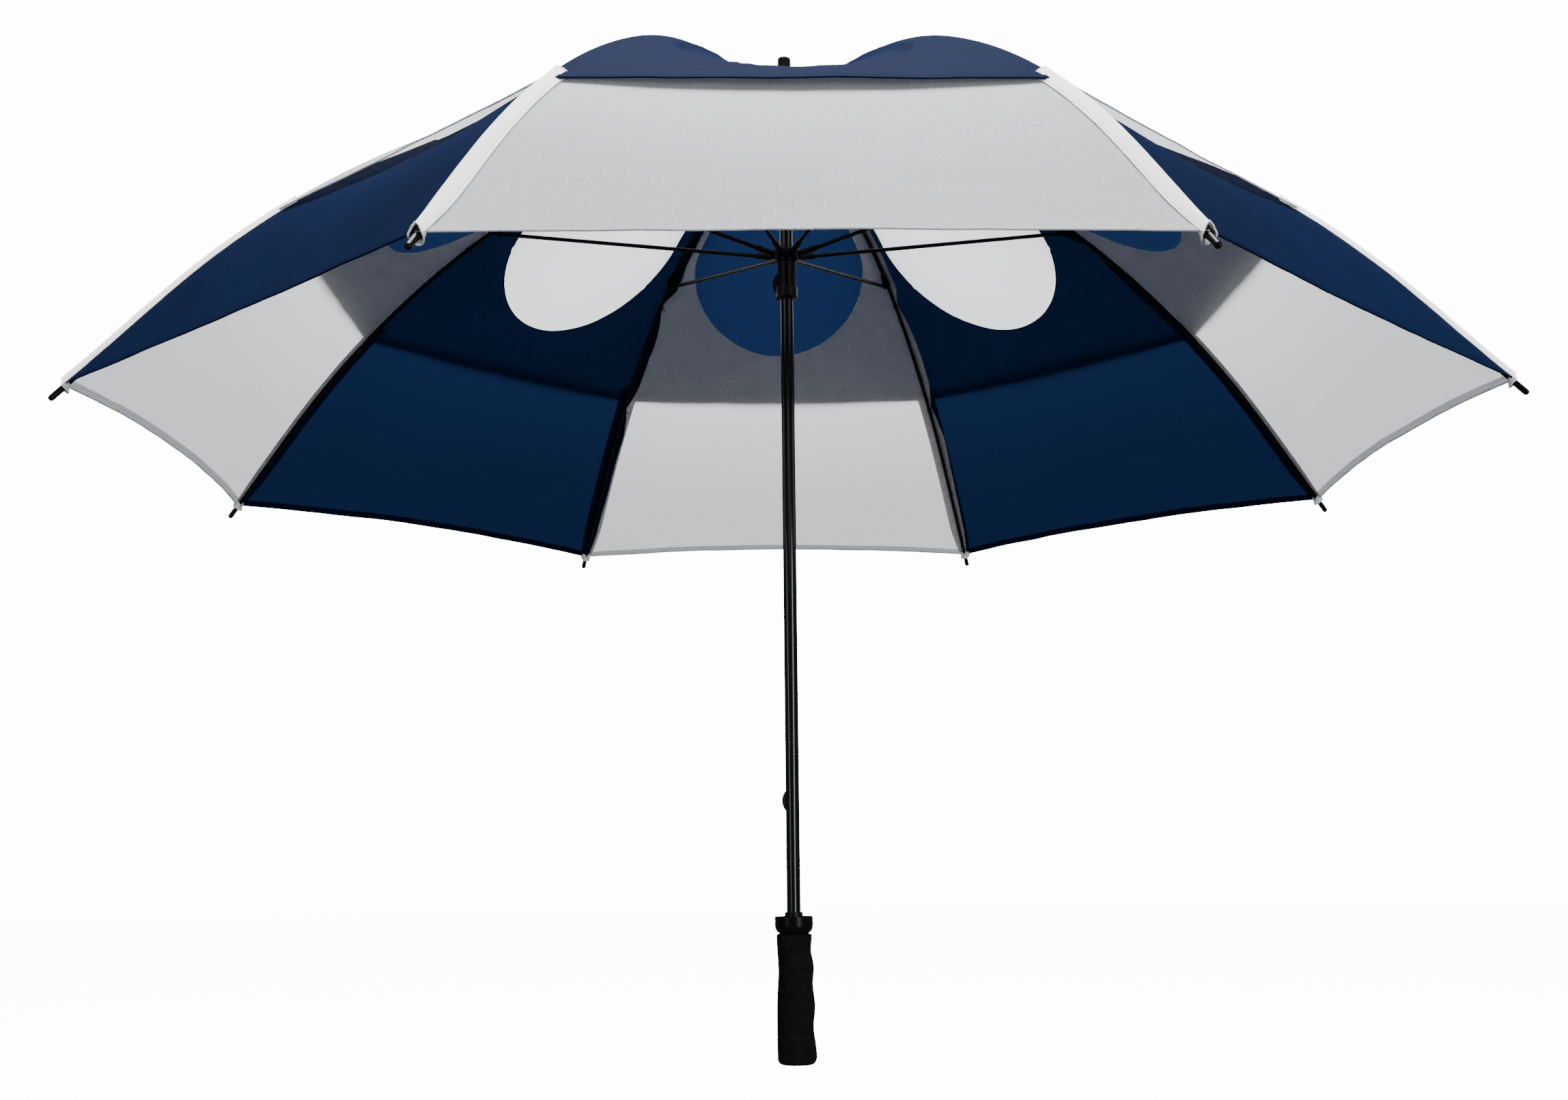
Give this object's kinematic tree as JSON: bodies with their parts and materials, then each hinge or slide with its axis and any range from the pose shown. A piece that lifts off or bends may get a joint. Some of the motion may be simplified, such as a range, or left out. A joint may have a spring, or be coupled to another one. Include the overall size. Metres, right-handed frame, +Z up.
{
  "type": "golf umbrella",
  "caption": "Open golf umbrella with a vented double canopy in alternating white and navy gores, black straight shaft, folding rib frame, runner and foam handle.",
  "frame": {"origin": "centre of the handle's lower end, on the shaft's axis", "axes": "+Z up the shaft towards the ferrule, +X towards the handle's finger grooves, -X towards the two catches"},
  "size_m": [1.2472, 1.2472, 1],
  "materials": {
    "white_cloth": "matt, plain weave",
    "navy_cloth": "matt, plain weave",
    "shaft_paint": "gloss",
    "rib_black": "satin",
    "black_plastic": "satin",
    "gloss_black_plastic": "gloss",
    "catch_black": "satin",
    "foam": "matt, fine cells",
    "steel_wire": "bright"
  },
  "bodies": {
    "shaft": {"shaft_tube": "shaft_paint", "top_notch": "black_plastic", "notch_wire": "steel_wire", "ferrule": "black_plastic", "catch_springs": "steel_wire", "handle_core": "black_plastic", "foam_grip": "foam", "tip_cup": "gloss_black_plastic", "cup_collar": "black_plastic"},
    "runner": {"runner": "black_plastic"},
    "upper_catch": {"upper_catch": "catch_black"},
    "lower_catch": {"lower_catch": "catch_black"},
    "rib_inner_1": {"rib_inner_1": "rib_black", "upper_panel_1": "white_cloth"},
    "rib_outer_1": {"rib_outer_1": "rib_black", "rib_tip_1": "gloss_black_plastic", "lower_panel_1": "navy_cloth"},
    "stretcher_1": {"stretcher_1": "rib_black"},
    "rib_inner_2": {"rib_inner_2": "rib_black", "upper_panel_2": "navy_cloth"},
    "rib_outer_2": {"rib_outer_2": "rib_black", "rib_tip_2": "gloss_black_plastic", "lower_panel_2": "white_cloth"},
    "stretcher_2": {"stretcher_2": "rib_black"},
    "rib_inner_3": {"rib_inner_3": "rib_black", "upper_panel_3": "white_cloth"},
    "rib_outer_3": {"rib_outer_3": "rib_black", "rib_tip_3": "gloss_black_plastic", "lower_panel_3": "navy_cloth"},
    "stretcher_3": {"stretcher_3": "rib_black"},
    "rib_inner_4": {"rib_inner_4": "rib_black", "upper_panel_4": "navy_cloth"},
    "rib_outer_4": {"rib_outer_4": "rib_black", "rib_tip_4": "gloss_black_plastic", "lower_panel_4": "white_cloth"},
    "stretcher_4": {"stretcher_4": "rib_black"},
    "rib_inner_5": {"rib_inner_5": "rib_black", "upper_panel_5": "white_cloth"},
    "rib_outer_5": {"rib_outer_5": "rib_black", "rib_tip_5": "gloss_black_plastic", "lower_panel_5": "navy_cloth"},
    "stretcher_5": {"stretcher_5": "rib_black"},
    "rib_inner_6": {"rib_inner_6": "rib_black", "upper_panel_6": "navy_cloth"},
    "rib_outer_6": {"rib_outer_6": "rib_black", "rib_tip_6": "gloss_black_plastic", "lower_panel_6": "white_cloth"},
    "stretcher_6": {"stretcher_6": "rib_black"},
    "rib_inner_7": {"rib_inner_7": "rib_black", "upper_panel_7": "white_cloth"},
    "rib_outer_7": {"rib_outer_7": "rib_black", "rib_tip_7": "gloss_black_plastic", "lower_panel_7": "navy_cloth"},
    "stretcher_7": {"stretcher_7": "rib_black"},
    "rib_inner_8": {"rib_inner_8": "rib_black", "upper_panel_8": "navy_cloth"},
    "rib_outer_8": {"rib_outer_8": "rib_black", "rib_tip_8": "gloss_black_plastic", "lower_panel_8": "white_cloth"},
    "stretcher_8": {"stretcher_8": "rib_black"}
  },
  "joints": [
    {"name": "runner_slide", "type": "slide", "parent": "shaft", "child": "runner", "axis": [0, 0, -1], "range_m": [0, 0.51375]},
    {"name": "rib_fold_1", "type": "hinge", "parent": "shaft", "child": "rib_inner_1", "pos_m": [0.0134, 0.00555, 0.929], "axis": [-0.3827, 0.9239, 0], "range_deg": [0, 73.1], "deforming": ["upper_panel_1"]},
    {"name": "rib_flex_1", "type": "hinge", "parent": "rib_inner_1", "child": "rib_outer_1", "pos_m": [0.31213, 0.12929, 0.86328], "axis": [-0.3827, 0.9239, 0], "range_deg": [-22.03, 0], "deforming": ["lower_panel_1"]},
    {"name": "stretcher_pivot_1", "type": "hinge", "parent": "rib_inner_1", "child": "stretcher_1", "pos_m": [0.30979, 0.12832, 0.8584], "axis": [-0.3827, 0.9239, 0], "range_deg": [-146.19, 0]},
    {"name": "rib_fold_2", "type": "hinge", "parent": "shaft", "child": "rib_inner_2", "pos_m": [0.00555, 0.0134, 0.929], "axis": [-0.9239, 0.3827, 0], "range_deg": [0, 73.1], "deforming": ["upper_panel_2"]},
    {"name": "rib_flex_2", "type": "hinge", "parent": "rib_inner_2", "child": "rib_outer_2", "pos_m": [0.12929, 0.31213, 0.86328], "axis": [-0.9239, 0.3827, 0], "range_deg": [-22.03, 0], "deforming": ["lower_panel_2"]},
    {"name": "stretcher_pivot_2", "type": "hinge", "parent": "rib_inner_2", "child": "stretcher_2", "pos_m": [0.12832, 0.30979, 0.8584], "axis": [-0.9239, 0.3827, 0], "range_deg": [-146.19, 0]},
    {"name": "rib_fold_3", "type": "hinge", "parent": "shaft", "child": "rib_inner_3", "pos_m": [-0.00555, 0.0134, 0.929], "axis": [-0.9239, -0.3827, 0], "range_deg": [0, 73.1], "deforming": ["upper_panel_3"]},
    {"name": "rib_flex_3", "type": "hinge", "parent": "rib_inner_3", "child": "rib_outer_3", "pos_m": [-0.12929, 0.31213, 0.86328], "axis": [-0.9239, -0.3827, 0], "range_deg": [-22.03, 0], "deforming": ["lower_panel_3"]},
    {"name": "stretcher_pivot_3", "type": "hinge", "parent": "rib_inner_3", "child": "stretcher_3", "pos_m": [-0.12832, 0.30979, 0.8584], "axis": [-0.9239, -0.3827, 0], "range_deg": [-146.19, 0]},
    {"name": "rib_fold_4", "type": "hinge", "parent": "shaft", "child": "rib_inner_4", "pos_m": [-0.0134, 0.00555, 0.929], "axis": [-0.3827, -0.9239, 0], "range_deg": [0, 73.1], "deforming": ["upper_panel_4"]},
    {"name": "rib_flex_4", "type": "hinge", "parent": "rib_inner_4", "child": "rib_outer_4", "pos_m": [-0.31213, 0.12929, 0.86328], "axis": [-0.3827, -0.9239, 0], "range_deg": [-22.03, 0], "deforming": ["lower_panel_4"]},
    {"name": "stretcher_pivot_4", "type": "hinge", "parent": "rib_inner_4", "child": "stretcher_4", "pos_m": [-0.30979, 0.12832, 0.8584], "axis": [-0.3827, -0.9239, 0], "range_deg": [-146.19, 0]},
    {"name": "rib_fold_5", "type": "hinge", "parent": "shaft", "child": "rib_inner_5", "pos_m": [-0.0134, -0.00555, 0.929], "axis": [0.3827, -0.9239, 0], "range_deg": [0, 73.1], "deforming": ["upper_panel_5"]},
    {"name": "rib_flex_5", "type": "hinge", "parent": "rib_inner_5", "child": "rib_outer_5", "pos_m": [-0.31213, -0.12929, 0.86328], "axis": [0.3827, -0.9239, 0], "range_deg": [-22.03, 0], "deforming": ["lower_panel_5"]},
    {"name": "stretcher_pivot_5", "type": "hinge", "parent": "rib_inner_5", "child": "stretcher_5", "pos_m": [-0.30979, -0.12832, 0.8584], "axis": [0.3827, -0.9239, 0], "range_deg": [-146.19, 0]},
    {"name": "rib_fold_6", "type": "hinge", "parent": "shaft", "child": "rib_inner_6", "pos_m": [-0.00555, -0.0134, 0.929], "axis": [0.9239, -0.3827, 0], "range_deg": [0, 73.1], "deforming": ["upper_panel_6"]},
    {"name": "rib_flex_6", "type": "hinge", "parent": "rib_inner_6", "child": "rib_outer_6", "pos_m": [-0.12929, -0.31213, 0.86328], "axis": [0.9239, -0.3827, 0], "range_deg": [-22.03, 0], "deforming": ["lower_panel_6"]},
    {"name": "stretcher_pivot_6", "type": "hinge", "parent": "rib_inner_6", "child": "stretcher_6", "pos_m": [-0.12832, -0.30979, 0.8584], "axis": [0.9239, -0.3827, 0], "range_deg": [-146.19, 0]},
    {"name": "rib_fold_7", "type": "hinge", "parent": "shaft", "child": "rib_inner_7", "pos_m": [0.00555, -0.0134, 0.929], "axis": [0.9239, 0.3827, 0], "range_deg": [0, 73.1], "deforming": ["upper_panel_7"]},
    {"name": "rib_flex_7", "type": "hinge", "parent": "rib_inner_7", "child": "rib_outer_7", "pos_m": [0.12929, -0.31213, 0.86328], "axis": [0.9239, 0.3827, 0], "range_deg": [-22.03, 0], "deforming": ["lower_panel_7"]},
    {"name": "stretcher_pivot_7", "type": "hinge", "parent": "rib_inner_7", "child": "stretcher_7", "pos_m": [0.12832, -0.30979, 0.8584], "axis": [0.9239, 0.3827, 0], "range_deg": [-146.19, 0]},
    {"name": "rib_fold_8", "type": "hinge", "parent": "shaft", "child": "rib_inner_8", "pos_m": [0.0134, -0.00555, 0.929], "axis": [0.3827, 0.9239, 0], "range_deg": [0, 73.1], "deforming": ["upper_panel_8"]},
    {"name": "rib_flex_8", "type": "hinge", "parent": "rib_inner_8", "child": "rib_outer_8", "pos_m": [0.31213, -0.12929, 0.86328], "axis": [0.3827, 0.9239, 0], "range_deg": [-22.03, 0], "deforming": ["lower_panel_8"]},
    {"name": "stretcher_pivot_8", "type": "hinge", "parent": "rib_inner_8", "child": "stretcher_8", "pos_m": [0.30979, -0.12832, 0.8584], "axis": [0.3827, 0.9239, 0], "range_deg": [-146.19, 0]},
    {"name": "upper_catch_press", "type": "slide", "parent": "shaft", "child": "upper_catch", "axis": [1, 0, 0], "range_m": [0, 0.0076], "stiffness_N_per_m": 800, "springref_m": -0.001, "deforming": ["catch_springs"]},
    {"name": "lower_catch_press", "type": "slide", "parent": "shaft", "child": "lower_catch", "axis": [1, 0, 0], "range_m": [0, 0.0035], "stiffness_N_per_m": 800, "springref_m": -0.001, "deforming": ["catch_springs"]}
  ],
  "couplings": [
    {"joint": "rib_fold_1", "follows": "runner_slide", "rad_per_m": 2.483},
    {"joint": "rib_flex_1", "follows": "runner_slide", "rad_per_m": -0.74822},
    {"joint": "stretcher_pivot_1", "follows": "runner_slide", "rad_per_m": -4.966},
    {"joint": "rib_fold_2", "follows": "runner_slide", "rad_per_m": 2.483},
    {"joint": "rib_flex_2", "follows": "runner_slide", "rad_per_m": -0.74822},
    {"joint": "stretcher_pivot_2", "follows": "runner_slide", "rad_per_m": -4.966},
    {"joint": "rib_fold_3", "follows": "runner_slide", "rad_per_m": 2.483},
    {"joint": "rib_flex_3", "follows": "runner_slide", "rad_per_m": -0.74822},
    {"joint": "stretcher_pivot_3", "follows": "runner_slide", "rad_per_m": -4.966},
    {"joint": "rib_fold_4", "follows": "runner_slide", "rad_per_m": 2.483},
    {"joint": "rib_flex_4", "follows": "runner_slide", "rad_per_m": -0.74822},
    {"joint": "stretcher_pivot_4", "follows": "runner_slide", "rad_per_m": -4.966},
    {"joint": "rib_fold_5", "follows": "runner_slide", "rad_per_m": 2.483},
    {"joint": "rib_flex_5", "follows": "runner_slide", "rad_per_m": -0.74822},
    {"joint": "stretcher_pivot_5", "follows": "runner_slide", "rad_per_m": -4.966},
    {"joint": "rib_fold_6", "follows": "runner_slide", "rad_per_m": 2.483},
    {"joint": "rib_flex_6", "follows": "runner_slide", "rad_per_m": -0.74822},
    {"joint": "stretcher_pivot_6", "follows": "runner_slide", "rad_per_m": -4.966},
    {"joint": "rib_fold_7", "follows": "runner_slide", "rad_per_m": 2.483},
    {"joint": "rib_flex_7", "follows": "runner_slide", "rad_per_m": -0.74822},
    {"joint": "stretcher_pivot_7", "follows": "runner_slide", "rad_per_m": -4.966},
    {"joint": "rib_fold_8", "follows": "runner_slide", "rad_per_m": 2.483},
    {"joint": "rib_flex_8", "follows": "runner_slide", "rad_per_m": -0.74822},
    {"joint": "stretcher_pivot_8", "follows": "runner_slide", "rad_per_m": -4.966}
  ]
}
